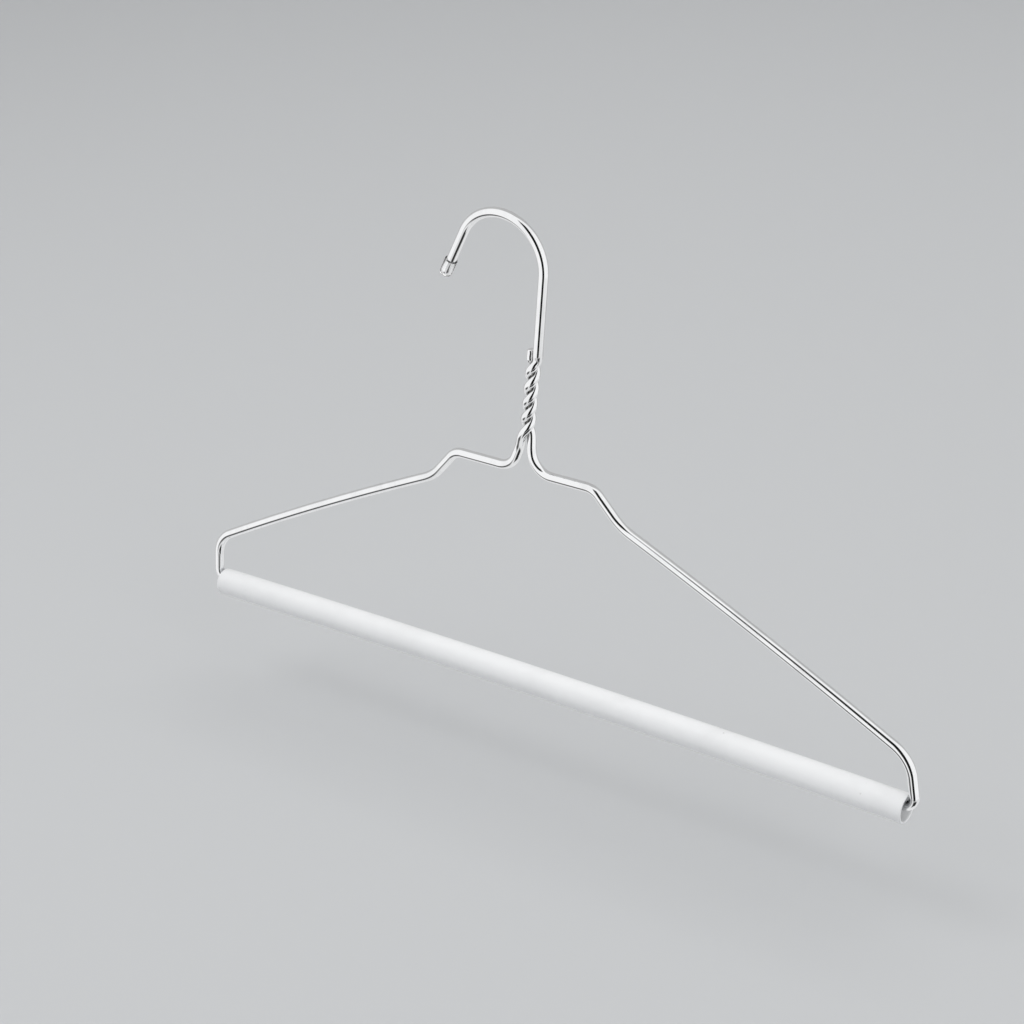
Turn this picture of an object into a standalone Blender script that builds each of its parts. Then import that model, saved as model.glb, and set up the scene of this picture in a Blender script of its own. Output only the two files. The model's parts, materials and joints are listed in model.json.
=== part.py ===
"""Trouser hanger: one bent rod with a twisted neck, a tube on its bar and a cap on its hook.

The rod is a single length. From the capped tip it runs over the hook, down the shank and
through the twist into the left arm, along the bar and up the right arm, back into the twist
beside itself, and ends in a short cut stub. The white tube hangs loose on the bar and rolls.
"""
import math

import bmesh
import bpy
from mathutils import Vector

# Driving dimensions in metres and degrees. Outline sizes are on the rod's centre line.
# X runs along the bar from the middle of the hanger, and heights start at the tube's mouths.
ROD_DIAMETER = 0.0046

# Arms, from the legs beside the tube up to the neck.
SHOULDER_HALF_WIDTH = 0.2003
LEG_SPLAY = 0.0033
LEG_HEIGHT = 0.0258
SHOULDER_RISE = 0.0728
SHOULDER_BOW = 0.0013
NOTCH_RISE = 0.0157
NOTCH_RUN = 0.0140
SHELF_LENGTH = 0.0325
NECK_FOOT_HALF_GAP = 0.0066
NECK_RISE = 0.0227
ELBOW_RADIUS = 0.0060
LEG_BEND_RADIUS = 0.0180
NOTCH_FOOT_RADIUS = 0.0260
NOTCH_TOP_RADIUS = 0.0090
NECK_BEND_RADIUS = 0.0105

# Twisted neck, whose axis leans to the shank's side and starts beside the hanger's middle.
TWIST_FOOT_OFFSET = 0.0036
TWIST_LEAN = 8.8
TWIST_TURNS = 2.08
TWIST_START_ANGLE = -58.0
STRAND_GAP = 0.0003
STRAND_OPENING = 0.0043
STUB_LENGTH = 0.0024

# Hook, from the top of the twist to the end of the rod.
SHANK_LENGTH = 0.0387
SHANK_LEAN = 7.3
HOOK_INNER_RADIUS = 0.0204
TIP_LEAN = 28.6
TIP_LENGTH = 0.0246

# Trouser tube, and the bar that it hangs on.
TUBE_DIAMETER = 0.0138
TUBE_WALL = 0.0010
TUBE_BOW = 0.0019
TUBE_RIM_ROUNDING = 0.00035
TUBE_END_PLAY = 0.0004
TUBE_SEAT_GAP = 0.0003
BAR_RISE_AT_MOUTH = 0.0007

# Cap on the end of the hook.
CAP_COVER = 0.0074
CAP_WALL = 0.00035
CAP_END_WALL = 0.0009
CAP_END_ROUNDING = 0.0014
CAP_FIT_GAP = 0.00025

# The neighbour presses a strand of the twist to these parts of the rod's diameter.
PRESSED_THICKNESS_SHARE = 0.74
PRESSED_WIDTH_SHARE = 0.86
# One turn of the twist, in rod diameters.
PITCH_SHARE = 3.43
# The part of each neck that curves into the twist, and of each bowed run that is an arc.
NECK_CURVE_SHARE = 0.58
BOW_SPAN_SHARE = 0.96
# The rounding of the rod's two cut ends, in rod radii, and of the cap's lip, in cap walls.
ROD_END_SHARE = 0.45
CAP_LIP_SHARE = 0.35

# Facet counts, and the most that a bend turns between two of them, in degrees.
ROD_SIDES = 16
TUBE_SIDES = 36
CAP_SIDES = 24
BEND_STEP = 9.0
HOOK_STEP = 6.0
BOW_STEPS = 10
CURVE_STEPS = 10
STEPS_PER_TURN = 20
ROUNDING_STEPS = 3
SHARP_ANGLE = 40.0

# Fits worked out from the sizes above.
ROD_RADIUS = ROD_DIAMETER / 2
PRESSED_THICKNESS = ROD_DIAMETER * PRESSED_THICKNESS_SHARE
PRESSED_WIDTH = ROD_DIAMETER * PRESSED_WIDTH_SHARE
STRAND_OFFSET = (PRESSED_THICKNESS + STRAND_GAP) / 2
TWIST_PITCH = ROD_DIAMETER * PITCH_SHARE
TWIST_HEIGHT = TWIST_TURNS * TWIST_PITCH
STUB_OFFSET = ROD_RADIUS + PRESSED_THICKNESS / 2 + STRAND_GAP
HOOK_RADIUS = HOOK_INNER_RADIUS + ROD_RADIUS
TUBE_RADIUS = TUBE_DIAMETER / 2
BORE_RADIUS = TUBE_RADIUS - TUBE_WALL
BAR_CROWN_HEIGHT = TUBE_BOW + BORE_RADIUS - ROD_RADIUS - TUBE_SEAT_GAP
SHELF_HEIGHT = LEG_HEIGHT + SHOULDER_RISE + NOTCH_RISE

# The tube rolls about its middle, so its mouths swing up by twice its bow beside the splayed
# legs, and its length is what the legs leave free at that height.
LEG_FOOT_X = SHOULDER_HALF_WIDTH + LEG_SPLAY
LEG_ANGLE = math.atan2(LEG_SPLAY, LEG_HEIGHT - BAR_RISE_AT_MOUTH)
MOUTH_REACH = 2 * TUBE_BOW + TUBE_RADIUS - BAR_RISE_AT_MOUTH
LEG_INNER_X = LEG_FOOT_X - MOUTH_REACH * math.tan(LEG_ANGLE) - ROD_RADIUS / math.cos(LEG_ANGLE)
TUBE_HALF_LENGTH = LEG_INNER_X - TUBE_END_PLAY


def point(x, z):
    """A point or a direction in the hanger's plane."""
    return Vector((x, 0, z))


def leaning(angle):
    """The upward direction that leans to the right by an angle in degrees."""
    return point(math.sin(math.radians(angle)), math.cos(math.radians(angle)))


TWIST_UP = leaning(TWIST_LEAN)
TWIST_RIGHT = point(TWIST_UP.z, -TWIST_UP.x)
TWIST_BACK = Vector((0, 1, 0))
TWIST_FOOT = point(TWIST_FOOT_OFFSET, SHELF_HEIGHT + NECK_RISE)
SHANK_UP = leaning(SHANK_LEAN)
SHANK_FOOT = TWIST_FOOT + TWIST_UP * (TWIST_HEIGHT + STRAND_OPENING) + TWIST_RIGHT * STRAND_OFFSET
TIP_WAY = -leaning(TIP_LEAN)
HOOK_CENTRE = SHANK_FOOT + SHANK_UP * SHANK_LENGTH + point(-SHANK_UP.z, SHANK_UP.x) * HOOK_RADIUS
# The highest point of the hook's inside, where a rail carries the hanger.
SADDLE = HOOK_CENTRE + point(0, HOOK_INNER_RADIUS)


def clear_scene():
    """Remove every object that the file opened with."""
    for item in list(bpy.data.objects):
        bpy.data.objects.remove(item, do_unlink=True)


def polyline_arc(start, way, inward, radius, turn, steps):
    """Points of an arc that leaves a start point in one direction and turns inwards."""
    arc = []
    for step in range(steps + 1):
        angle = turn * step / steps
        arc.append(start + way * (radius * math.sin(angle)) + inward * (radius * (1 - math.cos(angle))))
    return arc


def corner_turn(before, corner, after):
    """The ways into and out of a corner, the way its arc bulges from, and its turn."""
    arriving = (corner - before).normalized()
    leaving = (after - corner).normalized()
    inward = (leaving - arriving * arriving.dot(leaving)).normalized()
    return arriving, inward, arriving.angle(leaving)


def bend(before, corner, after, radius):
    """Points of the rod's bend at a corner."""
    arriving, inward, turn = corner_turn(before, corner, after)
    start = corner - arriving * (radius * math.tan(turn / 2))
    steps = math.ceil(math.degrees(turn) / BEND_STEP)
    return polyline_arc(start, arriving, inward, radius, turn, steps)


def bow_corner(start, end, bow):
    """The corner whose rounding turns a straight run into an arc with this bow."""
    run = (end - start).normalized()
    return (start + end) / 2 + point(-run.z, run.x) * (bow / (1 - BOW_SPAN_SHARE / 2))


def bowed(before, corner, after):
    """Points of the long arc that stands for a bowed run."""
    arriving, inward, turn = corner_turn(before, corner, after)
    cut = min((corner - before).length, (after - corner).length) * BOW_SPAN_SHARE
    radius = cut / math.tan(turn / 2)
    return polyline_arc(corner - arriving * cut, arriving, inward, radius, turn, BOW_STEPS)


def curve_between(start, start_way, end, end_way):
    """Inner points of a smooth curve between two points with given directions."""
    reach = (end - start).length
    points = []
    for step in range(1, CURVE_STEPS):
        t = step / CURVE_STEPS
        points.append(start * (2 * t**3 - 3 * t**2 + 1) + start_way * (reach * (t**3 - 2 * t**2 + t))
                      + end * (3 * t**2 - 2 * t**3) + end_way * (reach * (t**3 - t**2)))
    return points


def arm_corners(side):
    """Corners of one arm: leg foot, leg top, notch foot, notch top and neck foot."""
    notch_top_x = NECK_FOOT_HALF_GAP + SHELF_LENGTH
    return (point(side * LEG_FOOT_X, BAR_RISE_AT_MOUTH),
            point(side * SHOULDER_HALF_WIDTH, LEG_HEIGHT),
            point(side * (notch_top_x + NOTCH_RUN), LEG_HEIGHT + SHOULDER_RISE),
            point(side * notch_top_x, SHELF_HEIGHT),
            point(side * NECK_FOOT_HALF_GAP, SHELF_HEIGHT))


def arm_path(side):
    """Centre line of one arm, from the top of its leg up to its neck."""
    leg_foot, leg_top, notch_foot, notch_top, neck_foot = arm_corners(side)
    crown = bow_corner(leg_top, notch_foot, -side * SHOULDER_BOW)
    path = bend(leg_foot, leg_top, crown, LEG_BEND_RADIUS)
    path += bowed(path[-1], crown, notch_foot)
    path += bend(crown, notch_foot, notch_top, NOTCH_FOOT_RADIUS)
    path += bend(notch_foot, notch_top, neck_foot, NOTCH_TOP_RADIUS)
    path += bend(notch_top, neck_foot, TWIST_FOOT, NECK_BEND_RADIUS)
    return path


def bar_path():
    """Centre line of the bar from leg to leg, bowed up so that the tube hangs on its crown."""
    left_foot, left_top = arm_corners(-1)[:2]
    right_foot, right_top = arm_corners(1)[:2]
    crown = bow_corner(left_foot, right_foot, BAR_CROWN_HEIGHT - BAR_RISE_AT_MOUTH)
    path = bend(left_top, left_foot, crown, ELBOW_RADIUS)
    path += bowed(left_foot, crown, right_foot)
    path += bend(crown, right_foot, right_top, ELBOW_RADIUS)
    return path


def hook_path():
    """Centre line of the hook, from the end of the rod to the foot of the shank."""
    sweep = math.radians(180 - TIP_LEAN + SHANK_LEAN)
    steps = math.ceil(math.degrees(sweep) / HOOK_STEP)
    arc_start = HOOK_CENTRE + point(-TIP_WAY.z, TIP_WAY.x) * -HOOK_RADIUS
    inward = (HOOK_CENTRE - arc_start).normalized()
    arc = polyline_arc(arc_start, -TIP_WAY, inward, HOOK_RADIUS, sweep, steps)
    return [arc_start + TIP_WAY * TIP_LENGTH] + arc + [SHANK_FOOT]


def around_twist(angle):
    """The direction from the twist's axis to a strand that has turned by an angle."""
    return TWIST_RIGHT * math.cos(angle) + TWIST_BACK * math.sin(angle)


def strand_way(angle):
    """The direction in which a strand climbs where it has turned by an angle."""
    around = TWIST_BACK * math.cos(angle) - TWIST_RIGHT * math.sin(angle)
    return (TWIST_UP * TWIST_PITCH + around * (math.tau * STRAND_OFFSET)).normalized()


# A station of the rod is a point, how far the section there is pressed, and the way it is pressed.


def round_stations(points):
    """Stations of a stretch that keeps the rod's round section."""
    return [(place, 0.0, TWIST_BACK) for place in points]


def changing_stations(points, outward, first, last):
    """Stations of a stretch that is pressed more and more, or less and less."""
    steps = len(points) - 1
    pressed = [first + (last - first) * index / steps for index in range(steps + 1)]
    return [(place, math.sin(math.pi / 2 * share), outward) for place, share in zip(points, pressed)]


def strand_stations(start_angle):
    """Stations of one strand of the twist, upwards."""
    steps = math.ceil(TWIST_TURNS * STEPS_PER_TURN)
    strand = []
    for step in range(steps + 1):
        outward = around_twist(start_angle + math.tau * TWIST_TURNS * step / steps)
        place = TWIST_FOOT + TWIST_UP * (TWIST_HEIGHT * step / steps) + outward * STRAND_OFFSET
        strand.append((place, 1.0, outward))
    return strand


def neck_stations(side, start_angle):
    """Stations of one neck's curve, upwards into the foot of its strand."""
    neck = TWIST_FOOT - arm_corners(side)[-1]
    start = TWIST_FOOT - neck * NECK_CURVE_SHARE
    outward = around_twist(start_angle)
    strand_foot = TWIST_FOOT + outward * STRAND_OFFSET
    points = [start] + curve_between(start, neck.normalized(), strand_foot, strand_way(start_angle))
    return changing_stations(points, outward, 0.0, 1.0 - 1.0 / CURVE_STEPS)


def rod_stations():
    """Every station of the rod, from the end in the cap to the end of the stub."""
    left = math.radians(TWIST_START_ANGLE)
    right = left + math.pi
    left_end = left + math.tau * TWIST_TURNS
    right_end = right + math.tau * TWIST_TURNS
    left_strand = strand_stations(left)
    right_strand = strand_stations(right)
    opening = curve_between(SHANK_FOOT, -SHANK_UP, left_strand[-1][0], -strand_way(left_end))
    stub_foot = SHANK_FOOT + around_twist(right_end) * STUB_OFFSET
    stub = curve_between(right_strand[-1][0], strand_way(right_end), stub_foot, SHANK_UP)
    stub += [stub_foot, stub_foot + SHANK_UP * STUB_LENGTH]
    rod = round_stations(hook_path())
    rod += changing_stations(opening, around_twist(left_end), 1.0 / CURVE_STEPS, 1.0 - 1.0 / CURVE_STEPS)
    rod += left_strand[::-1]
    rod += neck_stations(-1, left)[::-1]
    rod += round_stations(arm_path(-1)[::-1])
    rod += round_stations(bar_path())
    rod += round_stations(arm_path(1))
    rod += neck_stations(1, right)
    rod += right_strand
    rod += changing_stations(stub, around_twist(right_end), 1.0, 1.0)
    return rod


def rod_section(place, way, across, pressed, outward, scale):
    """One ring of the rod, pressed thinner along the outward direction."""
    thick = (ROD_RADIUS + (PRESSED_THICKNESS / 2 - ROD_RADIUS) * pressed) * scale
    wide = (ROD_RADIUS + (PRESSED_WIDTH / 2 - ROD_RADIUS) * pressed) * scale
    side = way.cross(across)
    thin = (outward - way * outward.dot(way)).normalized()
    section = []
    for index in range(ROD_SIDES):
        angle = math.tau * index / ROD_SIDES
        spoke = across * math.cos(angle) + side * math.sin(angle)
        along = spoke.dot(thin)
        reach = thick * wide / math.sqrt((wide * along)**2 + thick**2 * (1 - along**2))
        section.append(place + spoke * reach)
    return section


def rod_rings():
    """The rod's rings, in frames that turn only as far as the rod bends."""
    rod = rod_stations()
    steps = [(after[0] - before[0]).normalized() for before, after in zip(rod, rod[1:])]
    ways = [steps[0]] + [(a + b).normalized() for a, b in zip(steps, steps[1:])] + [steps[-1]]
    across = TWIST_BACK
    frames = []
    for index, way in enumerate(ways):
        if index:
            across = ways[index - 1].rotation_difference(way) @ across
        frames.append(across)
    rounding = ROD_RADIUS * ROD_END_SHARE
    ends = []
    for (place, pressed, outward), way, across, outside in (
            (rod[0], ways[0], frames[0], -ways[0]), (rod[-1], ways[-1], frames[-1], ways[-1])):
        end = []
        for step in range(ROUNDING_STEPS + 1):
            angle = math.pi / 2 * step / ROUNDING_STEPS
            centre = place + outside * (rounding * (math.sin(angle) - 1))
            scale = 1 - ROD_END_SHARE * (1 - math.cos(angle))
            end.append(rod_section(centre, way, across, pressed, outward, scale))
        ends.append(end)
    middle = [rod_section(place, way, across, pressed, outward, 1.0)
              for (place, pressed, outward), way, across in list(zip(rod, ways, frames))[1:-1]]
    return ends[0][::-1] + middle + ends[1]


def loft(rings, loop=False):
    """A closed mesh through rings of points, joined end to end or closed with flat ends."""
    mesh = bmesh.new()
    rows = [[mesh.verts.new(place) for place in section] for section in rings]
    pairs = list(zip(rows, rows[1:]))
    if loop:
        pairs.append((rows[-1], rows[0]))
    else:
        mesh.faces.new(rows[0][::-1])
        mesh.faces.new(rows[-1])
    for lower, upper in pairs:
        for index in range(len(lower)):
            after = (index + 1) % len(lower)
            mesh.faces.new((lower[index], lower[after], upper[after], upper[index]))
    bmesh.ops.recalc_face_normals(mesh, faces=mesh.faces)
    return mesh


def finish(name, colour, metallic, roughness):
    """A plain material with one colour, metallic value and roughness."""
    material = bpy.data.materials.new(name)
    material.use_nodes = True
    shader = material.node_tree.nodes["Principled BSDF"]
    shader.inputs["Base Color"].default_value = (*colour, 1)
    shader.inputs["Metallic"].default_value = metallic
    shader.inputs["Roughness"].default_value = roughness
    return material


def polished_aluminium():
    """Bright drawn rod with a mirror-like skin."""
    return finish("polished_aluminium", (0.90, 0.91, 0.92), 1.0, 0.12)


def white_plastic():
    """Satin white tube."""
    return finish("white_plastic", (0.86, 0.87, 0.88), 0.0, 0.45)


def clear_plastic():
    """Thin glossy cap that lets the rod's end show."""
    return finish("clear_plastic", (0.84, 0.86, 0.88), 0.0, 0.08)


def place_piece(name, mesh, material, parent, location):
    """Make a smooth-shaded object of a mesh, at a place in its parent's frame."""
    data = bpy.data.meshes.new(name)
    mesh.to_mesh(data)
    mesh.free()
    data.shade_smooth()
    data.set_sharp_from_angle(angle=math.radians(SHARP_ANGLE))
    data.materials.append(material)
    piece = bpy.data.objects.new(name, data)
    bpy.context.scene.collection.objects.link(piece)
    piece.parent = parent
    piece.location = location
    return piece


def make_wire_frame(parent):
    """The one bent rod: hook, shank, twist, arms, legs, bar and stub."""
    place_piece("wire_frame", loft(rod_rings()), polished_aluminium(), parent, (0, 0, 0))


def tube_outline():
    """Once round the tube's wall: places along the tube, and radii."""
    straight = TUBE_HALF_LENGTH - TUBE_RIM_ROUNDING
    run = [straight * (2 * step / BOW_STEPS - 1) for step in range(1, BOW_STEPS)]
    rim = []
    for centre, start in ((TUBE_RADIUS - TUBE_RIM_ROUNDING, 0), (BORE_RADIUS + TUBE_RIM_ROUNDING, 1)):
        for step in range(ROUNDING_STEPS + 1):
            angle = math.pi / 2 * (start + step / ROUNDING_STEPS)
            rim.append((straight + TUBE_RIM_ROUNDING * math.sin(angle),
                        centre + TUBE_RIM_ROUNDING * math.cos(angle)))
    other_rim = [(-along, radius) for along, radius in reversed(rim)]
    outside = [(along, TUBE_RADIUS) for along in run]
    inside = [(-along, BORE_RADIUS) for along in run]
    return outside + rim + inside + other_rim


def make_trouser_tube(parent):
    """The bowed tube, whose origin is on the axis that it rolls about, at its middle."""
    bow_radius = (TUBE_HALF_LENGTH**2 + TUBE_BOW**2) / (2 * TUBE_BOW)
    rings = []
    for along, radius in tube_outline():
        tilt = along / bow_radius
        outward = point(math.sin(tilt), math.cos(tilt))
        centre = outward * bow_radius - point(0, bow_radius)
        turns = [math.tau * index / TUBE_SIDES for index in range(TUBE_SIDES)]
        rings.append([centre + (outward * math.cos(turn) + TWIST_BACK * math.sin(turn)) * radius
                      for turn in turns])
    place_piece("trouser_tube", loft(rings, loop=True), white_plastic(), parent, point(0, TUBE_BOW))


def make_hook_tip_cap(parent):
    """The thin cap on the rod's end, modelled along Z from that end and turned to the tip's way."""
    bore = ROD_RADIUS + CAP_FIT_GAP
    outer = bore + CAP_WALL
    end = CAP_FIT_GAP + CAP_END_WALL
    lip = CAP_WALL * CAP_LIP_SHARE
    outline = [(bore, CAP_FIT_GAP), (bore, lip - CAP_COVER), (bore + lip, -CAP_COVER),
               (outer - lip, -CAP_COVER), (outer, lip - CAP_COVER)]
    for step in range(2 * ROUNDING_STEPS + 1):
        angle = math.pi / 4 * step / ROUNDING_STEPS
        outline.append((outer - CAP_END_ROUNDING * (1 - math.cos(angle)),
                        end - CAP_END_ROUNDING * (1 - math.sin(angle))))
    turns = [math.tau * index / CAP_SIDES for index in range(CAP_SIDES)]
    rings = [[Vector((radius * math.cos(turn), radius * math.sin(turn), along)) for turn in turns]
             for radius, along in outline]
    rod_end = hook_path()[0]
    cap = place_piece("hook_tip_cap", loft(rings), clear_plastic(), parent, rod_end)
    cap.rotation_euler = TIP_WAY.to_track_quat("Z", "Y").to_euler()


def build():
    """Build the hanger round the saddle of its hook, which is the part's origin."""
    clear_scene()
    hanger = bpy.data.objects.new("hanger", None)
    bpy.context.scene.collection.objects.link(hanger)
    hanger.location = -SADDLE
    make_wire_frame(hanger)
    make_trouser_tube(hanger)
    make_hook_tip_cap(hanger)


build()
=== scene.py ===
import json
import math

import bmesh
import bpy
from mathutils import Matrix, Vector
from mathutils.kdtree import KDTree


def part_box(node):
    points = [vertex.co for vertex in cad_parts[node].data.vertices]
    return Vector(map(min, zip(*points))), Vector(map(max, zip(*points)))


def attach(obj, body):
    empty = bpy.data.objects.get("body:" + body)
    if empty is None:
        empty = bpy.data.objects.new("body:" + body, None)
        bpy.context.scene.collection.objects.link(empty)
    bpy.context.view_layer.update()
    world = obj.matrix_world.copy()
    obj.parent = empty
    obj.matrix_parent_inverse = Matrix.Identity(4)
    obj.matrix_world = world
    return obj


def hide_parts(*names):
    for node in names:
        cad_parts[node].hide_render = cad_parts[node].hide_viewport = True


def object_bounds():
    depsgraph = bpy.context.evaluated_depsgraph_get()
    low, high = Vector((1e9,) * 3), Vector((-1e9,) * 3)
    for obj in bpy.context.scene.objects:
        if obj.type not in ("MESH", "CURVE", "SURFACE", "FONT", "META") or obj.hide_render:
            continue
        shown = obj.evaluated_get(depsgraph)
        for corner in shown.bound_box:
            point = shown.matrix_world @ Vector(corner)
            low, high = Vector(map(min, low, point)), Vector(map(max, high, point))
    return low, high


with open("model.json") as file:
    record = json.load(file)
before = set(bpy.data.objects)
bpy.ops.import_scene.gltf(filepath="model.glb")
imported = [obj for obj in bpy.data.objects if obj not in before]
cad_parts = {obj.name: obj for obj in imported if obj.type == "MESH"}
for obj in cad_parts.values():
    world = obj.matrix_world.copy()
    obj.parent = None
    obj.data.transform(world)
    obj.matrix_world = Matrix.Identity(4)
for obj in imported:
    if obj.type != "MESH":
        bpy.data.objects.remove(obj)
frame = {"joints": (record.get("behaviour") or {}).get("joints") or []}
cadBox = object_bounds()

tube = {
    "radius": 0.0069,
    "wall": 0.0010,
    "bow": 0.0019,              # the middle stands this much above the mouths
    "rimRound": 0.00035,
    "rimSegments": 4,
    "rimAngle": 60.0,           # only edges sharper than this are rounded
    "shadeAngle": 40.0,
    "firmEnd": 0.0008,          # from a rim to a ring that keeps the shading even
    "sides": 96,
    "steps": 80,
}

tubeMiddle = Vector(frame["joints"][0]["pos_m"])            # the tube rolls about its middle
mouthLevel = tubeMiddle - Vector((0, 0, tube["bow"]))       # arms and bar are placed from here

up = Vector((0, 0, 1))
back = Vector((0, 1, 0))


def beside(x, z):               # a place in the flat of the hanger, from the level of the tube's mouths
    return mouthLevel + Vector((x, 0, z))


def leaning(angle):             # straight up, tipped over to the right
    return Vector((math.sin(math.radians(angle)), 0, math.cos(math.radians(angle))))


def facing(centre, heading, across):      # a ring's own X goes across, and its Z along the rod
    side = heading.cross(across)
    return Matrix.Translation(centre) @ Matrix((across, side, heading)).transposed().to_4x4()


def nothingSelected():
    bpy.ops.object.select_all(action="DESELECT")


# The rod is modelled as it is bent: a ring is drawn out along each straight and spun round each bend.

rod = {
    "radius": 0.0023,
    "sides": 32,
    "bendStep": 4.0,            # degrees between two rings of a bend
    "bowSteps": 24,
    "bowFrom": 0.1,             # a bend of a larger radius than this is a bow
    "legFoot": (0.2036, 0.0007),
    "legTop": (0.2003, 0.0258),
    "notchFoot": (0.0531, 0.0986),
    "notchTop": (0.0391, 0.1143),
    "neckFoot": (0.0066, 0.1143),
    "twistFoot": (0.0036, 0.1370),
    "elbowRadius": 0.0060,
    "legRadius": 0.0180,
    "notchFootRadius": 0.0260,
    "notchTopRadius": 0.0090,
    "neckRadius": 0.0105,
    "shoulderBow": 0.001435,    # how far a shoulder and the bar arch, and how much of each is in its arc
    "shoulderArcShare": 0.852,
    "barBow": 0.0045,
    "barArcShare": 0.96,
    "neckShare": 0.42,          # how far up the neck the rod stays straight
    "tipRound": 0.0010,         # of the cut ends
    "stubRound": 0.0011,
    "roundSegments": 6,
    "shadeAngle": 45.0,
    "firmEnd": 0.0016,          # from the end of a straight to a ring that keeps the shading even
}

hook = {
    "radius": 0.0227,           # of the rod's middle, round the rail
    "innerRadius": 0.0204,
    "tipLean": 28.6,
    "tipLength": 0.0246,
    "shankLean": 7.3,
    "shankLength": 0.0387,
    "steps": 60,
}

twist = {
    "lean": 8.8,
    "turns": 2.08,
    "startAngle": -58.0,
    "pitch": 0.015778,
    "offset": 0.001852,         # from the twist's axis to the middle of each strand
    "thick": 0.0034,            # the strands press each other flatter
    "wide": 0.00396,
    "steps": 96,
    "stubOffset": 0.0043,
    "stubTurn": 18.0,           # the stub winds on this much further round the shank
    "stubLength": 0.0017,
    "bridgeCuts": 12,
}

route = []                      # the rod's middle line, as (place, heading), filled while it is modelled


def addRing(name, placing, sides, thick, wide=None):         # round, unless a width is given
    nothingSelected()
    bpy.ops.mesh.primitive_circle_add(vertices=sides, radius=1)
    ring = bpy.context.object
    ring.name = name
    ring.matrix_world = placing @ Matrix.Diagonal((thick / 2, (wide or thick) / 2, 1, 1))
    bpy.ops.object.transform_apply(location=True, rotation=True, scale=True)
    return ring


def drawOut(reach):             # the selected ring goes straight on
    firm = reach.normalized() * rod["firmEnd"]
    stretches = [firm, reach - 2 * firm, firm] if reach.length > 3 * firm.length else [reach]
    for stretch in stretches:
        bpy.ops.mesh.extrude_region_move(TRANSFORM_OT_translate={"value": stretch})


def addRingAcross(place, heading):
    bpy.ops.mesh.select_all(action="SELECT")
    bpy.ops.mesh.bisect(plane_co=place, plane_no=heading)


def spinRound(start, heading, centre, axis, turn, steps):
    bpy.ops.mesh.spin(steps=steps, angle=-turn, center=centre, axis=axis)
    for step in range(steps + 1):
        swing = Matrix.Rotation(turn * step / steps, 3, axis)
        route.append((centre + swing @ (start - centre), swing @ heading))


def bendRod(corners, radii):
    here = corners[0]
    for before, corner, after, radius in zip(corners, corners[1:], corners[2:], radii):
        arriving = (corner - before).normalized()
        leaving = (after - corner).normalized()
        turn = arriving.angle(leaving)
        cut = radius * math.tan(turn / 2)
        start = corner - arriving * cut
        axis = arriving.cross(leaving).normalized()
        steps = rod["bowSteps"] if radius > rod["bowFrom"] else math.ceil(math.degrees(turn) / rod["bendStep"])
        if (start - here).length > 1e-6:
            drawOut(start - here)
        spinRound(start, arriving, start + axis.cross(arriving) * radius, axis, turn, steps)
        here = corner + leaving * cut
    drawOut(corners[-1] - here)
    route.append((corners[-1], (corners[-1] - here).normalized()))


def shallowArc(start, end, bow, share):      # the corner that a long arc is rounded from, and its radius
    run = (end - start).normalized()
    corner = (start + end) / 2 + run.cross(back) * bow / (1 - share / 2)
    turn = (corner - start).angle(end - corner)
    return corner, (corner - start).length * share / math.tan(turn / 2)


def selectRings(piece, *centres):         # the open ring round each of these places
    bpy.ops.mesh.select_all(action="DESELECT")
    work = bmesh.from_edit_mesh(piece.data)
    openEdges = [edge for edge in work.edges if edge.is_boundary]
    for centre in centres:
        nearest = min(openEdges, key=lambda edge: (edge.verts[0].co - centre).length)
        nearest.select_set(True)
    bmesh.update_edit_mesh(piece.data)
    bpy.ops.mesh.loop_multi_select(ring=False)


def bridgeRings(piece, first, second):    # a smooth stretch of rod from one open ring to another
    selectRings(piece, first, second)
    bpy.ops.mesh.bridge_edge_loops(number_cuts=twist["bridgeCuts"], interpolation="PATH",
                                   smoothness=1.0, profile_shape_factor=0)


def closeEnd(piece, centre, roundness):
    selectRings(piece, centre)
    bpy.ops.mesh.edge_face_add()
    bpy.ops.mesh.bevel(offset=roundness, segments=rod["roundSegments"], affect="EDGES")


print("modelling the rod")
shankUp = leaning(hook["shankLean"])
tipWay = -leaning(hook["tipLean"])
hookCentre = Vector((0, 0, -hook["innerRadius"]))
hookSweep = math.radians(180 - hook["tipLean"] + hook["shankLean"])
hookStart = hookCentre - Vector((-tipWay.z, 0, tipWay.x)) * hook["radius"]
rodTip = hookStart + tipWay * hook["tipLength"]
shankFoot = hookCentre + Vector((shankUp.z, 0, -shankUp.x)) * hook["radius"] - shankUp * hook["shankLength"]

hookRod = addRing("hookRod", facing(rodTip, -tipWay, back), rod["sides"], 2 * rod["radius"])
bpy.ops.object.mode_set(mode="EDIT")
route.append((rodTip, -tipWay))
drawOut(-tipWay * hook["tipLength"])
spinRound(hookStart, -tipWay, hookCentre, back, hookSweep, hook["steps"])
drawOut(-shankUp * hook["shankLength"])
route.append((shankFoot, -shankUp))
bpy.ops.object.mode_set(mode="OBJECT")

twistFoot = beside(*rod["twistFoot"])


def armCorners(side):           # from the tube up to the twist
    return [beside(side * rod[key][0], rod[key][1])
            for key in ("legFoot", "legTop", "notchFoot", "notchTop", "neckFoot")]


def neckTop(side):              # where the neck leaves its straight and curves into the twist
    neckFoot = armCorners(side)[-1]
    return neckFoot + (twistFoot - neckFoot) * rod["neckShare"]


legFoot, legTop, notchFoot, notchTop, neckFoot = armCorners(-1)
farLegFoot, farLegTop, farNotchFoot, farNotchTop, farNeckFoot = armCorners(1)
shoulder, shoulderRadius = shallowArc(legTop, notchFoot, rod["shoulderBow"], rod["shoulderArcShare"])
farShoulder, _ = shallowArc(farNotchFoot, farLegTop, rod["shoulderBow"], rod["shoulderArcShare"])
barCrown, barRadius = shallowArc(legFoot, farLegFoot, rod["barBow"], rod["barArcShare"])

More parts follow.
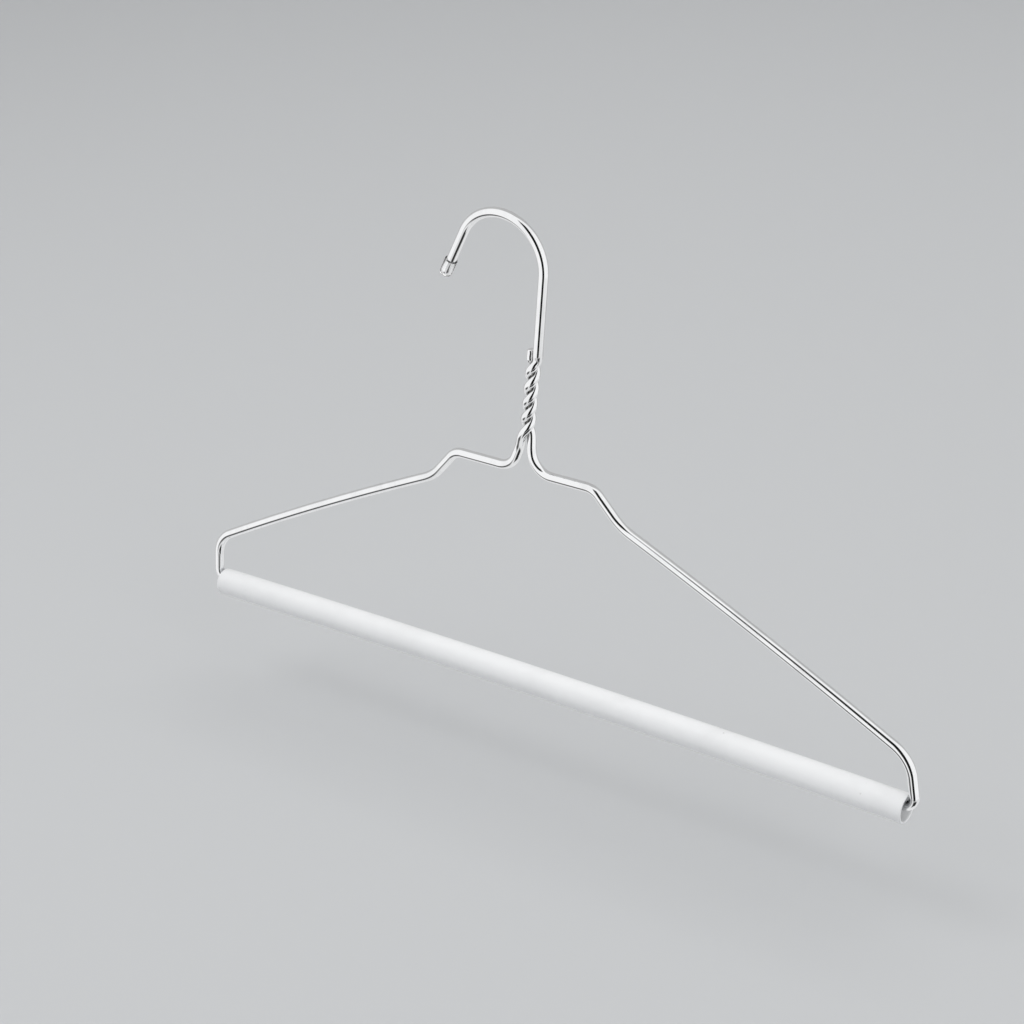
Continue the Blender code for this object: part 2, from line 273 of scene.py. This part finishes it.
print("twisting the neck")
strandLean = math.atan2(math.tau * twist["offset"], twist["pitch"])
strandRings = []
for side in (-1, 1):            # the left arm's strand starts on the side that startAngle gives
    heading = Vector((0, -side * math.sin(strandLean), math.cos(strandLean)))
    placing = facing(Vector((-side * twist["offset"], 0, 0)), heading, Vector((1, 0, 0)))
    strandRings.append(addRing("strand", placing, rod["sides"], twist["thick"], twist["wide"]))
strandRings[0].select_set(True)
bpy.ops.object.join()
strands = bpy.context.object
winding = strands.modifiers.new("winding", "SCREW")
winding.angle = math.tau * twist["turns"]
winding.screw_offset = twist["pitch"] * twist["turns"]
winding.steps = winding.render_steps = twist["steps"]
bpy.ops.object.modifier_apply(modifier="winding")
strands.matrix_world = (Matrix.Translation(twistFoot) @ Matrix.Rotation(math.radians(twist["lean"]), 4, "Y")
                        @ Matrix.Rotation(math.radians(twist["startAngle"]), 4, "Z"))
bpy.ops.object.transform_apply(location=True, rotation=True, scale=True)


def strandAt(side, share):      # where a strand is, and which way it climbs, a share of the way up the twist
    turn = math.radians(twist["startAngle"]) + math.tau * twist["turns"] * share + (math.pi if side > 0 else 0)
    tip = Matrix.Rotation(math.radians(twist["lean"]), 3, "Y")
    outward = tip @ Vector((math.cos(turn), math.sin(turn), 0))
    around = tip @ Vector((-math.sin(turn), math.cos(turn), 0))
    climb = tip @ up
    place = twistFoot + climb * twist["pitch"] * twist["turns"] * share + outward * twist["offset"]
    return place, climb * math.cos(strandLean) + around * math.sin(strandLean), outward


steps = twist["steps"]
route += [(place, -climb) for place, climb, _ in (strandAt(-1, 1 - step / steps) for step in range(steps + 1))]

neckWay = (neckTop(-1) - neckFoot).normalized()
armRod = addRing("armRod", facing(neckTop(-1), -neckWay, back), rod["sides"], 2 * rod["radius"])
bpy.ops.object.mode_set(mode="EDIT")
route.append((neckTop(-1), -neckWay))
armRadii = [rod["neckRadius"], rod["notchTopRadius"], rod["notchFootRadius"], shoulderRadius, rod["legRadius"]]
bendRod([neckTop(-1), neckFoot, notchTop, notchFoot, shoulder, legTop, legFoot, barCrown,
         farLegFoot, farLegTop, farShoulder, farNotchFoot, farNotchTop, farNeckFoot, neckTop(1)],
        armRadii + [rod["elbowRadius"], barRadius, rod["elbowRadius"]] + armRadii[::-1])
bpy.ops.object.mode_set(mode="OBJECT")

route += [(place, climb) for place, climb, _ in (strandAt(1, step / steps) for step in range(steps + 1))]
stubWay = strandAt(1, 1)[2]
stubWay = (stubWay - shankUp * stubWay.dot(shankUp)).normalized()
stubWay = Matrix.Rotation(math.radians(twist["stubTurn"]), 3, shankUp) @ stubWay
stubFoot = shankFoot + stubWay * twist["stubOffset"]
stub = addRing("stub", facing(stubFoot, shankUp, stubWay), rod["sides"], twist["thick"], twist["wide"])
bpy.ops.object.mode_set(mode="EDIT")
drawOut(shankUp * twist["stubLength"])
bpy.ops.object.mode_set(mode="OBJECT")
route.append((stubFoot, shankUp))
route.append((stubFoot + shankUp * twist["stubLength"], shankUp))

nothingSelected()
for part in (hookRod, armRod, strands, stub):
    part.select_set(True)
bpy.context.view_layer.objects.active = hookRod
bpy.ops.object.join()
hangerRod = bpy.context.object
hangerRod.name = "polished_rod"
bpy.ops.object.mode_set(mode="EDIT")
bpy.ops.mesh.select_mode(type="EDGE")
bridgeRings(hangerRod, neckTop(-1), strandAt(-1, 0)[0])
bridgeRings(hangerRod, neckTop(1), strandAt(1, 0)[0])
bridgeRings(hangerRod, shankFoot, strandAt(-1, 1)[0])
bridgeRings(hangerRod, stubFoot, strandAt(1, 1)[0])
closeEnd(hangerRod, rodTip, rod["tipRound"])
closeEnd(hangerRod, stubFoot + shankUp * twist["stubLength"], rod["stubRound"])
bpy.ops.mesh.select_all(action="SELECT")
bpy.ops.mesh.normals_make_consistent(inside=False)
bpy.ops.object.mode_set(mode="OBJECT")
bpy.ops.object.shade_smooth_by_angle(angle=math.radians(rod["shadeAngle"]))


# Where each point lay before the rod was bent: patterns that read this follow the rod round its bends.

# How near each point of the rod is to another strand. The aluminium is painted darker there: painted shade
# between the strands, partly grime.
strandContact = {
    "routeGap": 0.001,          # between two places on the line that the points are measured from
    "sameStretch": 0.012,       # rod that is this near along its own line doesn't count as another strand
    "touching": 0.00218,        # from a point to the middle of the other strand, where the painted shade and grime between strands are full
    "free": 0.00298,            # and where there is none
}


def fillRoute(line, gap):
    filled = [line[0]]
    for (start, leaving), (end, arriving) in zip(line, line[1:]):
        reach = (end - start).length
        for step in range(1, math.ceil(reach / gap)):
            t = step / math.ceil(reach / gap)
            place = (start * (2 * t**3 - 3 * t**2 + 1) + leaving * (reach * (t**3 - 2 * t**2 + t))
                     + end * (3 * t**2 - 2 * t**3) + arriving * (reach * (t**3 - t**2)))
            filled.append((place, leaving.lerp(arriving, t).normalized()))
        filled.append((end, arriving))
    return filled


def storeDrawn(piece, line):
    line = fillRoute(line, strandContact["routeGap"])
    tree = KDTree(len(line))
    lengths = [0.0]
    for index, (place, _) in enumerate(line):
        tree.insert(place, index)
        if index:
            lengths.append(lengths[-1] + (place - line[index - 1][0]).length)
    tree.balance()
    piece.data.attributes.new("drawn", "FLOAT_VECTOR", "POINT")
    piece.data.attributes.new("nearOtherStrand", "FLOAT", "POINT")
    drawn = piece.data.attributes["drawn"].data       # read again, because the second layer moved the first
    nearOtherStrand = piece.data.attributes["nearOtherStrand"].data
    for vert in piece.data.vertices:
        _, index, _ = tree.find(vert.co)
        centre, heading = line[index]
        reach = vert.co - centre
        along = reach.dot(heading)
        drawn[vert.index].vector = (reach.dot(back), reach.dot(heading.cross(back)), lengths[index] + along)
        # the nearness of another strand, which sets the painted shade and grime between strands
        others = [distance for _, other, distance in tree.find_range(vert.co, strandContact["free"])
                  if abs(lengths[other] - lengths[index]) > strandContact["sameStretch"]]
        nearness = strandContact["free"] - min(others, default=strandContact["free"])
        nearOtherStrand[vert.index].value = min(1, nearness / (strandContact["free"] - strandContact["touching"]))


storeDrawn(hangerRod, route)


# The tube: a ring spun round the far centre of its bow, then given its wall and rounded rims.

print("modelling the tube")
tubeLow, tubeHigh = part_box("trouser_tube")
tubeHalf = (tubeHigh.x - tubeLow.x) / 2
tubeHalf -= tube["radius"] * 2 * tube["bow"] / tubeHalf      # the rims lean out past the middle line's ends
bowRound = (tubeHalf**2 + tube["bow"]**2) / (2 * tube["bow"])
bowCentre = tubeMiddle - up * bowRound
endTilt = tubeHalf / bowRound
tubeLine = []
for step in range(tube["steps"] + 1):
    tilt = endTilt * (2 * step / tube["steps"] - 1)
    outward = leaning(math.degrees(tilt))
    tubeLine.append((bowCentre + outward * bowRound, outward.cross(back) * -1))

nothingSelected()
whiteTube = addRing("white_tube", facing(*tubeLine[0], back), tube["sides"], 2 * tube["radius"])
bpy.ops.object.mode_set(mode="EDIT")
bpy.ops.mesh.select_all(action="SELECT")
bpy.ops.mesh.spin(steps=tube["steps"], angle=-2 * endTilt, center=bowCentre, axis=back)
bpy.ops.mesh.select_all(action="SELECT")
bpy.ops.mesh.normals_make_consistent(inside=False)
bpy.ops.object.mode_set(mode="OBJECT")
wall = whiteTube.modifiers.new("wall", "SOLIDIFY")
wall.thickness = tube["wall"]
wall.offset = -1
wall.use_even_offset = True
rims = whiteTube.modifiers.new("rims", "BEVEL")
rims.width = tube["rimRound"]
rims.segments = tube["rimSegments"]
rims.limit_method = "ANGLE"
rims.angle_limit = math.radians(tube["rimAngle"])
for modifier in ("wall", "rims"):
    bpy.ops.object.modifier_apply(modifier=modifier)
bpy.ops.object.mode_set(mode="EDIT")
addRingAcross(tubeLine[0][0] + tubeLine[0][1] * tube["firmEnd"], tubeLine[0][1])
addRingAcross(tubeLine[-1][0] - tubeLine[-1][1] * tube["firmEnd"], tubeLine[-1][1])
bpy.ops.object.mode_set(mode="OBJECT")
bpy.ops.object.shade_smooth_by_angle(angle=math.radians(tube["shadeAngle"]))
storeDrawn(whiteTube, tubeLine)


# The clear cap on the cut end of the hook: a turned plug with a bore.

cap = {
    "cover": 0.0074,
    "bore": 0.00227,            # pushed tight over the rod
    "wall": 0.00063,
    "endWall": 0.0009,
    "endGap": 0.00025,
    "endRound": (0.0014, 10),   # radius and segments
    "boreRound": (0.0008, 6),
    "lipRound": (0.0001, 3),
    "shadeAngle": 40.0,
    "firmEnd": 0.0002,
    "sides": 64,
    "near": 0.00001,            # how exactly an edge is found by its place
}


def selectCircle(piece, along, radius):      # the edges round the cap at a place along it
    bpy.ops.mesh.select_all(action="DESELECT")
    work = bmesh.from_edit_mesh(piece.data)
    for edge in work.edges:
        reaches = [vert.co - rodTip for vert in edge.verts]
        level = all(abs(reach.dot(tipWay) - along) < cap["near"] for reach in reaches)
        around = all(abs(reach.cross(tipWay).length - radius) < cap["near"] for reach in reaches)
        edge.select_set(level and around)
    bmesh.update_edit_mesh(piece.data)


print("modelling the cap")
capEnd = cap["endGap"] + cap["endWall"]
capRadius = cap["bore"] + cap["wall"]
nothingSelected()
bpy.ops.mesh.primitive_cylinder_add(vertices=cap["sides"], radius=capRadius, depth=capEnd + cap["cover"])
clearCap = bpy.context.object
clearCap.name = "clear_cap"
clearCap.matrix_world = facing(rodTip + tipWay * (capEnd - cap["cover"]) / 2, tipWay, back)
bpy.ops.object.transform_apply(location=True, rotation=True, scale=True)
bpy.ops.object.mode_set(mode="EDIT")
bpy.ops.mesh.select_mode(type="FACE")
bpy.ops.mesh.select_all(action="DESELECT")
work = bmesh.from_edit_mesh(clearCap.data)
for face in work.faces:
    face.select_set(face.normal.dot(tipWay) < -0.9)
bmesh.update_edit_mesh(clearCap.data)
bpy.ops.mesh.inset(thickness=cap["wall"])
drawOut(tipWay * (cap["cover"] + cap["endGap"]))
bpy.ops.mesh.select_mode(type="EDGE")
for along, radius, (roundness, segments) in ((capEnd, capRadius, cap["endRound"]),
                                             (cap["endGap"], cap["bore"], cap["boreRound"]),
                                             (-cap["cover"], capRadius, cap["lipRound"]),
                                             (-cap["cover"], cap["bore"], cap["lipRound"])):
    selectCircle(clearCap, along, radius)
    bpy.ops.mesh.bevel(offset=roundness, segments=segments, affect="EDGES")
addRingAcross(rodTip + tipWay * (capEnd - cap["endRound"][0] - cap["firmEnd"]), tipWay)
addRingAcross(rodTip + tipWay * (cap["firmEnd"] - cap["cover"]), tipWay)
bpy.ops.mesh.select_all(action="SELECT")
bpy.ops.mesh.normals_make_consistent(inside=False)
bpy.ops.object.mode_set(mode="OBJECT")
bpy.ops.object.shade_smooth_by_angle(angle=math.radians(cap["shadeAngle"]))


# Effects that the finishes share. Each group is built once, and gives out masks and heights only.

def addNode(tree, kind, inputs=None, **settings):
    node = tree.nodes.new("ShaderNode" + kind)
    for key, value in settings.items():
        setattr(node, key, value)
    for key, value in (inputs or {}).items():
        if isinstance(value, bpy.types.NodeSocket):
            tree.links.new(value, node.inputs[key])
        else:
            node.inputs[key].default_value = value
    return node


def mapRange(tree, value, low, high, toLow, toHigh):
    node = addNode(tree, "MapRange", {0: value, 1: low, 2: high, 3: toLow, 4: toHigh}, clamp=True)
    return node.outputs[0]


def calculate(tree, operation, first, second=0.0):
    return addNode(tree, "Math", {0: first, 1: second}, operation=operation).outputs[0]


def farFrom(tree, value, middle):
    return calculate(tree, "ABSOLUTE", calculate(tree, "SUBTRACT", value, middle))


def newGroup(name, inputs, outputs):
    group = bpy.data.node_groups.new(name, "ShaderNodeTree")
    for label, kind, value in inputs:
        socket = group.interface.new_socket(label, in_out="INPUT", socket_type="NodeSocket" + kind)
        if value is not None:
            socket.default_value = value
    for label in outputs:
        group.interface.new_socket(label, in_out="OUTPUT", socket_type="NodeSocketFloat")
    return group, group.nodes.new("NodeGroupInput").outputs, group.nodes.new("NodeGroupOutput").inputs


def useGroup(tree, group, inputs):
    node = tree.nodes.new("ShaderNodeGroup")
    node.node_tree = group
    for key, value in inputs.items():
        if isinstance(value, bpy.types.NodeSocket):
            tree.links.new(value, node.inputs[key])
        else:
            node.inputs[key].default_value = value
    return node.outputs


def makeHandling():             # soft smudges from fingers, and specks of dust
    group, given, made = newGroup("handling marks", [("Vector", "Vector", None), ("Smudge Size", "Float", 60.0),
                                                     ("Speck Size", "Float", 900.0)], ["Smudge", "Speck"])
    place, size = given["Vector"], given["Smudge Size"]
    cloud = addNode(group, "TexNoise", {"Vector": place, "Scale": size, "Detail": 5.0,
                                        "Roughness": 0.62, "Distortion": 0.6})
    group.links.new(mapRange(group, cloud.outputs[0], 0.46, 0.68, 0.0, 1.0), made["Smudge"])
    cells = addNode(group, "TexVoronoi", {"Vector": place, "Scale": given["Speck Size"]})
    sparse = addNode(group, "TexNoise", {"Vector": place, "Scale": size, "Detail": 2.0})
    near = mapRange(group, cells.outputs["Distance"], 0.06, 0.16, 1.0, 0.0)
    chosen = mapRange(group, cells.outputs["Color"], 0.80, 0.86, 0.0, 1.0)
    where = mapRange(group, sparse.outputs[0], 0.48, 0.60, 0.0, 1.0)
    specks = calculate(group, "MULTIPLY", near, chosen)
    group.links.new(calculate(group, "MULTIPLY", specks, where), made["Speck"])
    return group


def makeScratches():            # hairlines in every direction, thin and broken
    group, given, made = newGroup("fine scratches", [("Vector", "Vector", None), ("Scale", "Float", 300.0)],
                                  ["Scratch"])
    total = None
    for turn in (0.35, 1.9, 2.8):
        swung = addNode(group, "Mapping", {"Vector": given["Vector"], "Scale": (1.0, 0.05, 0.35),
                                           "Rotation": (turn, turn * 1.7, turn * 0.6)})
        lines = addNode(group, "TexNoise", {"Vector": swung.outputs[0], "Scale": given["Scale"], "Detail": 1.0})
        thin = mapRange(group, farFrom(group, lines.outputs[0], 0.5), 0.0, 0.010, 1.0, 0.0)
        patch = addNode(group, "TexNoise", {"Vector": swung.outputs[0], "Scale": 90.0, "Detail": 0.0})
        kept = calculate(group, "MULTIPLY", thin, mapRange(group, patch.outputs[0], 0.55, 0.62, 0.0, 1.0))
        total = kept if total is None else calculate(group, "MAXIMUM", total, kept)
    group.links.new(total, made["Scratch"])
    return group


def makeDrawnLines():           # the faint lines that a die leaves along rod and tube
    group, given, made = newGroup("drawn lines", [("Drawn", "Vector", None), ("Fineness", "Float", 1400.0),
                                                  ("Length Share", "Float", 0.012)], ["Line"])
    squeeze = addNode(group, "CombineXYZ", {0: 1.0, 1: 1.0, 2: given["Length Share"]})
    scaled = addNode(group, "VectorMath", {0: given["Drawn"], 1: squeeze.outputs[0]}, operation="MULTIPLY")
    lines = addNode(group, "TexNoise", {"Vector": scaled.outputs[0], "Scale": given["Fineness"], "Detail": 3.0,
                                        "Roughness": 0.7})
    group.links.new(lines.outputs[0], made["Line"])
    return group


handlingMarks = makeHandling()
fineScratches = makeScratches()
drawnLines = makeDrawnLines()


def newFinish(name, metallic, specular, transmission, ior):
    material = bpy.data.materials.new(name)
    material.use_nodes = True
    shader = material.node_tree.nodes["Principled BSDF"]
    shader.inputs["Metallic"].default_value = metallic
    shader.inputs["Specular IOR Level"].default_value = specular
    shader.inputs["Transmission Weight"].default_value = transmission
    shader.inputs["IOR"].default_value = ior
    return material, material.node_tree, shader.inputs


def mixColours(tree, share, first, second):
    node = addNode(tree, "Mix", {0: share, 6: (*first, 1) if isinstance(first, tuple) else first,
                                 7: (*second, 1) if isinstance(second, tuple) else second}, data_type="RGBA")
    return node.outputs[2]


aluminium = {
    "bright": (0.900, 0.906, 0.915),
    "dull": (0.760, 0.768, 0.780),
    # the dark colour of the painted shade and grime between touching strands
    "grimeAndShade": (0.300, 0.290, 0.275),
    "roughness": (0.035, 0.120),
    "lineDepth": 0.000006,
    "scratchDepth": 0.000004,
}


def polishedAluminium():
    material, tree, shader = newFinish("polished aluminium", 1.0, 0.5, 0.0, 1.45)
    drawn = addNode(tree, "Attribute", attribute_name="drawn").outputs["Vector"]
    nearOtherStrand = addNode(tree, "Attribute", attribute_name="nearOtherStrand").outputs["Fac"]
    marks = useGroup(tree, handlingMarks, {"Vector": drawn, "Smudge Size": 55.0, "Speck Size": 1100.0})
    scratch = useGroup(tree, fineScratches, {"Vector": drawn, "Scale": 420.0})["Scratch"]
    line = useGroup(tree, drawnLines, {"Drawn": drawn, "Fineness": 1500.0})["Line"]
    dulling = calculate(tree, "MULTIPLY", marks["Smudge"], 0.45)
    clean = mixColours(tree, dulling, aluminium["bright"], aluminium["dull"])
    # painted shade and grime: the colour darkens towards the dark colour where another strand is near
    grimeAndShade = addNode(tree, "TexNoise", {"Vector": drawn, "Scale": 700.0, "Detail": 4.0}).outputs[0]
    creaseShadeAndGrime = calculate(tree, "MULTIPLY", nearOtherStrand, mapRange(tree, grimeAndShade, 0.30, 0.62, 0.35, 1.0))
    colour = mixColours(tree, creaseShadeAndGrime, clean, aluminium["grimeAndShade"])
    tree.links.new(mixColours(tree, marks["Speck"], colour, aluminium["dull"]), shader["Base Color"])
    low, high = aluminium["roughness"]
    smear = mapRange(tree, marks["Smudge"], 0.0, 1.0, low, high)
    worn = calculate(tree, "ADD", smear, calculate(tree, "MULTIPLY", scratch, 0.12))
    tree.links.new(calculate(tree, "ADD", worn, calculate(tree, "MULTIPLY", creaseShadeAndGrime, 0.30)), shader["Roughness"])
    lines = addNode(tree, "Bump", {"Height": line, "Distance": aluminium["lineDepth"], "Strength": 1.0})
    hairs = addNode(tree, "Bump", {"Height": scratch, "Distance": aluminium["scratchDepth"], "Strength": 1.0,
                                   "Normal": lines.outputs[0]}, invert=True)
    tree.links.new(hairs.outputs[0], shader["Normal"])
    return material


plastic = {
    "outside": (0.868, 0.874, 0.882),
    "cloudy": (0.826, 0.832, 0.840),
    "speck": (0.360, 0.345, 0.330),
    "roughness": (0.30, 0.46),
    "lineDepth": 0.000010,
    "scratchDepth": 0.000012,
}


def whitePlastic():
    material, tree, shader = newFinish("white plastic", 0.0, 0.5, 0.0, 1.49)
    drawn = addNode(tree, "Attribute", attribute_name="drawn").outputs["Vector"]
    marks = useGroup(tree, handlingMarks, {"Vector": drawn, "Smudge Size": 28.0, "Speck Size": 260.0})
    scratch = useGroup(tree, fineScratches, {"Vector": drawn, "Scale": 160.0})["Scratch"]
    line = useGroup(tree, drawnLines, {"Drawn": drawn, "Fineness": 700.0, "Length Share": 0.01})["Line"]
    clouds = mixColours(tree, marks["Smudge"], plastic["outside"], plastic["cloudy"])
    tree.links.new(mixColours(tree, marks["Speck"], clouds, plastic["speck"]), shader["Base Color"])
    low, high = plastic["roughness"]
    smear = mapRange(tree, marks["Smudge"], 0.0, 1.0, high, low)
    worn = calculate(tree, "MULTIPLY", scratch, 0.10)
    tree.links.new(calculate(tree, "ADD", smear, worn), shader["Roughness"])
    lines = addNode(tree, "Bump", {"Height": line, "Distance": plastic["lineDepth"], "Strength": 1.0})
    hairs = addNode(tree, "Bump", {"Height": scratch, "Distance": plastic["scratchDepth"], "Strength": 1.0,
                                   "Normal": lines.outputs[0]}, invert=True)
    tree.links.new(hairs.outputs[0], shader["Normal"])
    return material


clear = {
    "colour": (0.992, 0.994, 0.996),
    "hazed": (0.955, 0.960, 0.960),
    "roughness": (0.08, 0.20),
    "scratchDepth": 0.000006,
}


def clearPlastic():
    material, tree, shader = newFinish("clear plastic", 0.0, 0.5, 1.0, 1.47)
    place = addNode(tree, "TexCoord").outputs["Object"]
    marks = useGroup(tree, handlingMarks, {"Vector": place, "Smudge Size": 220.0, "Speck Size": 1500.0})
    scratch = useGroup(tree, fineScratches, {"Vector": place, "Scale": 500.0})["Scratch"]
    haze = calculate(tree, "MAXIMUM", calculate(tree, "MULTIPLY", marks["Smudge"], 0.5), marks["Speck"])
    tree.links.new(mixColours(tree, haze, clear["colour"], clear["hazed"]), shader["Base Color"])
    low, high = clear["roughness"]
    smear = mapRange(tree, haze, 0.0, 1.0, low, high)
    worn = calculate(tree, "MULTIPLY", scratch, 0.06)
    tree.links.new(calculate(tree, "ADD", smear, worn), shader["Roughness"])
    hairs = addNode(tree, "Bump", {"Height": scratch, "Distance": clear["scratchDepth"], "Strength": 1.0},
                    invert=True)
    tree.links.new(hairs.outputs[0], shader["Normal"])
    return material


print("finishing the surfaces")
for piece, finish, body, node in ((hangerRod, polishedAluminium(), "hanger", "wire_frame"),
                                  (clearCap, clearPlastic(), "hanger", "hook_tip_cap"),
                                  (whiteTube, whitePlastic(), "tube", "trouser_tube")):
    piece.data.materials.clear()
    piece.data.materials.append(finish)
    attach(piece, body)
    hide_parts(node)


# A pale studio. The floor rises into a wall all round, under four soft boxes.
# Rod and cap mirror the room beyond it, so that their streaks don't move with floor or lamps.

studio = {
    "floorDrop": 0.05,          # the hanger hangs this far above the floor
    "colour": (0.56, 0.57, 0.58),
    "roughness": 0.75,
    "radius": 2.7,
    "wallHeight": 1.5,
    "wallRound": 0.8,
    "sides": 96,
    "roundSteps": 12,
    "shadeAngle": 30.0,
    "boxes": (                  # name, place, size, watts
        ("key", (-0.75, -0.55, 1.35), 0.9, 4.6),
        ("top", (0.0, 0.75, 1.6), 1.8, 8.5),
        ("left", (-1.1, -1.45, 0.6), 1.0, 3.4),
        ("right", (1.5, -0.8, 0.55), 0.9, 6.8),
    ),
}

room = {                        # brightness by direction, in degrees round from the front and up from level
    "walls": 1.00,
    "behind": 0.50,
    "behindFrom": (108.0, 134.0),        # away from the slot's middle
    "slot": 0.012,              # the dark slot that the camera looks through
    "slotAt": 28.0,
    "slotEdge": (19.0, 25.0),
    "slotFoot": (-42.0, -35.0),
    "slotTop": (56.0, 66.0),
    "table": 0.82,
    "band": 0.10,               # a dark band past the table's edge, left of the slot
    "bandRight": (-28.0, -12.0),
    "bandLeft": (-72.0, -56.0),
    "bandFoot": (-62.0, -52.0),
    "bandTop": (-34.0, -29.0),
    "stand": 0.03,              # the dark foot of a stand
    "standAt": (48.0, -53.0),
    "standAcross": (32.0, 46.0),
    "standUp": (9.0, 15.0),
}


def paint(piece, name, colour, roughness):
    material, _, shader = newFinish(name, 0.0, 0.3, 0.0, 1.45)
    shader["Base Color"].default_value = (*colour, 1)
    shader["Roughness"].default_value = roughness
    piece.data.materials.append(material)


print("lighting the stage")
nothingSelected()
reached = studio["radius"] - studio["wallRound"]
bpy.ops.mesh.primitive_circle_add(vertices=studio["sides"], radius=reached, fill_type="NGON",
                                  location=(0, 0, cadBox[0].z - studio["floorDrop"]))
cove = bpy.context.object
cove.name = "studio_cove"
bpy.ops.object.transform_apply(location=True, rotation=True, scale=True)
bpy.ops.object.mode_set(mode="EDIT")
bpy.ops.mesh.select_mode(type="EDGE")
bpy.ops.mesh.select_all(action="SELECT")
height = 0.0
for step in range(1, studio["roundSteps"] + 1):
    turn = math.pi / 2 * step / studio["roundSteps"]
    wide = studio["radius"] - studio["wallRound"] * (1 - math.sin(turn))
    high = studio["wallRound"] * (1 - math.cos(turn))
    bpy.ops.mesh.extrude_edges_move(TRANSFORM_OT_translate={"value": up * (high - height)})
    bpy.ops.transform.resize(value=(wide / reached, wide / reached, 1))
    reached, height = wide, high
bpy.ops.mesh.extrude_edges_move(TRANSFORM_OT_translate={"value": up * (studio["wallHeight"] - height)})
bpy.ops.mesh.select_all(action="SELECT")
bpy.ops.mesh.normals_make_consistent(inside=True)
bpy.ops.object.mode_set(mode="OBJECT")
bpy.ops.object.shade_smooth_by_angle(angle=math.radians(studio["shadeAngle"]))
paint(cove, "pale paper", studio["colour"], studio["roughness"])

cove.visible_glossy = False     # rod and cap show the room instead
cove.visible_transmission = False

for name, place, size, watts in studio["boxes"]:
    turned = Vector(place).to_track_quat("Z", "Y").to_euler()
    bpy.ops.object.light_add(type="AREA", location=place, rotation=turned)
    box = bpy.context.object
    box.name = name + "_softbox"
    box.data.shape = "SQUARE"
    box.data.size = size
    box.data.energy = watts
    box.visible_glossy = False
    box.visible_camera = False


def lightRoom(tree):
    way = addNode(tree, "SeparateXYZ", {0: addNode(tree, "TexCoord").outputs["Generated"]}).outputs
    front = calculate(tree, "MULTIPLY", way[1], -1.0)
    azimuth = calculate(tree, "DEGREES", calculate(tree, "ARCTAN2", way[0], front))
    elevation = calculate(tree, "DEGREES", calculate(tree, "ARCSINE", way[2]))
    offSlot = farFrom(tree, azimuth, room["slotAt"])
    across = mapRange(tree, offSlot, *room["slotEdge"], 1.0, 0.0)
    over = mapRange(tree, elevation, *room["slotFoot"], 0.0, 1.0)
    under = mapRange(tree, elevation, *room["slotTop"], 1.0, 0.0)
    dark = calculate(tree, "MULTIPLY", across, calculate(tree, "MULTIPLY", over, under))
    walls = mapRange(tree, offSlot, *room["behindFrom"], room["walls"], room["behind"])
    sides = calculate(tree, "MULTIPLY", mapRange(tree, azimuth, *room["bandRight"], 1.0, 0.0),
                      mapRange(tree, azimuth, *room["bandLeft"], 0.0, 1.0))
    band = calculate(tree, "MULTIPLY", sides, mapRange(tree, elevation, *room["bandFoot"], 0.0, 1.0))
    standAzimuth, standElevation = room["standAt"]
    stand = calculate(tree, "MULTIPLY",
                      mapRange(tree, farFrom(tree, azimuth, standAzimuth), *room["standAcross"], 1.0, 0.0),
                      mapRange(tree, farFrom(tree, elevation, standElevation), *room["standUp"], 1.0, 0.0))
    ground = mapRange(tree, band, 0.0, 1.0, room["table"], room["band"])
    ground = addNode(tree, "Mix", {0: stand, 2: ground, 3: room["stand"]}).outputs[0]
    raised = mapRange(tree, elevation, *room["bandTop"], 0.0, 1.0)
    tone = addNode(tree, "Mix", {0: raised, 2: ground, 3: walls}).outputs[0]
    tone = addNode(tree, "Mix", {0: dark, 2: tone, 3: room["slot"]}).outputs[0]
    tree.links.new(tone, tree.nodes["Background"].inputs["Color"])


world = bpy.data.worlds.new("studio room")
world.use_nodes = True
lightRoom(world.node_tree)
bpy.context.scene.world = world

camera = {
    "azimuth": 37.3625,
    "elevation": 26.7345,
    "roll": -2.9352,
    "lens": 82.3306,
    "distance": 1.12452,
    "aside": -0.010431,         # the view's centre, across and up from the level of the tube's mouths
    "above": 0.082007,
    "level": 0.0007,
    "sensor": 36.0,
    "clipStart": 0.05,
}

azimuth, elevation, roll = (math.radians(camera[key]) for key in ("azimuth", "elevation", "roll"))
backward = Vector((math.sin(azimuth) * math.cos(elevation), -math.cos(azimuth) * math.cos(elevation),
                   math.sin(elevation)))
level = Vector((math.cos(azimuth), math.sin(azimuth), 0))
upright = backward.cross(level)
rightward = level * math.cos(roll) + upright * math.sin(roll)
upward = upright * math.cos(roll) - level * math.sin(roll)
target = mouthLevel + up * camera["level"] + rightward * camera["aside"] + upward * camera["above"]
bpy.ops.object.camera_add()
photoCamera = bpy.context.object
photoCamera.name = "photo_camera"
photoCamera.matrix_world = (Matrix.Translation(target + backward * camera["distance"])
                            @ Matrix((rightward, upward, backward)).transposed().to_4x4())
photoCamera.data.lens = camera["lens"]
photoCamera.data.sensor_width = camera["sensor"]
photoCamera.data.clip_start = camera["clipStart"]
bpy.context.scene.camera = photoCamera
bpy.context.scene.view_settings.view_transform = "Standard"

print("finished")
